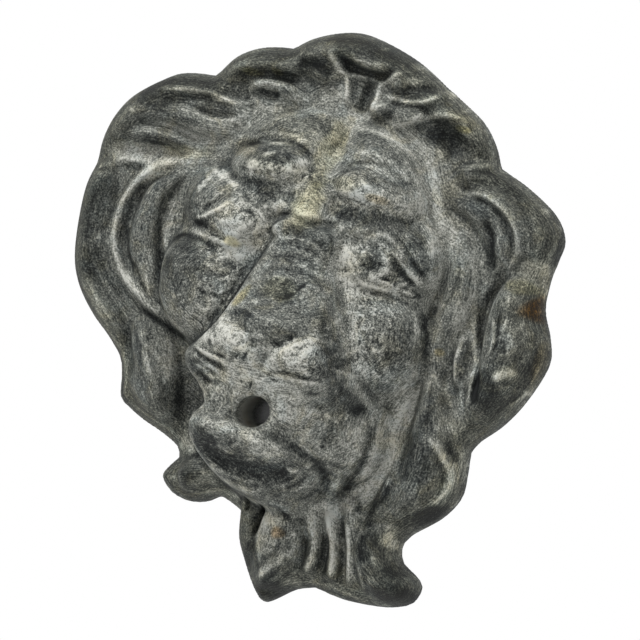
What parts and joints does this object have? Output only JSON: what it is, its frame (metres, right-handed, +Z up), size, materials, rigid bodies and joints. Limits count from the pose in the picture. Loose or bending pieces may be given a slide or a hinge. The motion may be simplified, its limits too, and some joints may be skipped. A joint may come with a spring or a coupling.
{
  "type": "lion mask fountain spout",
  "caption": "Cast lead lion mask with a curling mane, hollow behind with a flat rim for fixing to a wall, and a hole through the mouth for the water.",
  "frame": {"origin": "on the flat back of the rim, at the top of the crown, halfway across the rim", "axes": "+Z up, +X to the right of someone who faces the lion, +Y into the wall; the face looks towards -Y"},
  "size_m": [0.2639, 0.1029, 0.2998],
  "materials": {
    "lead": "old cast lead, dark grey, dull, with pale oxide in the hollows"
  },
  "bodies": {
    "root": {"lion_mask": "lead"}
  },
  "joints": []
}
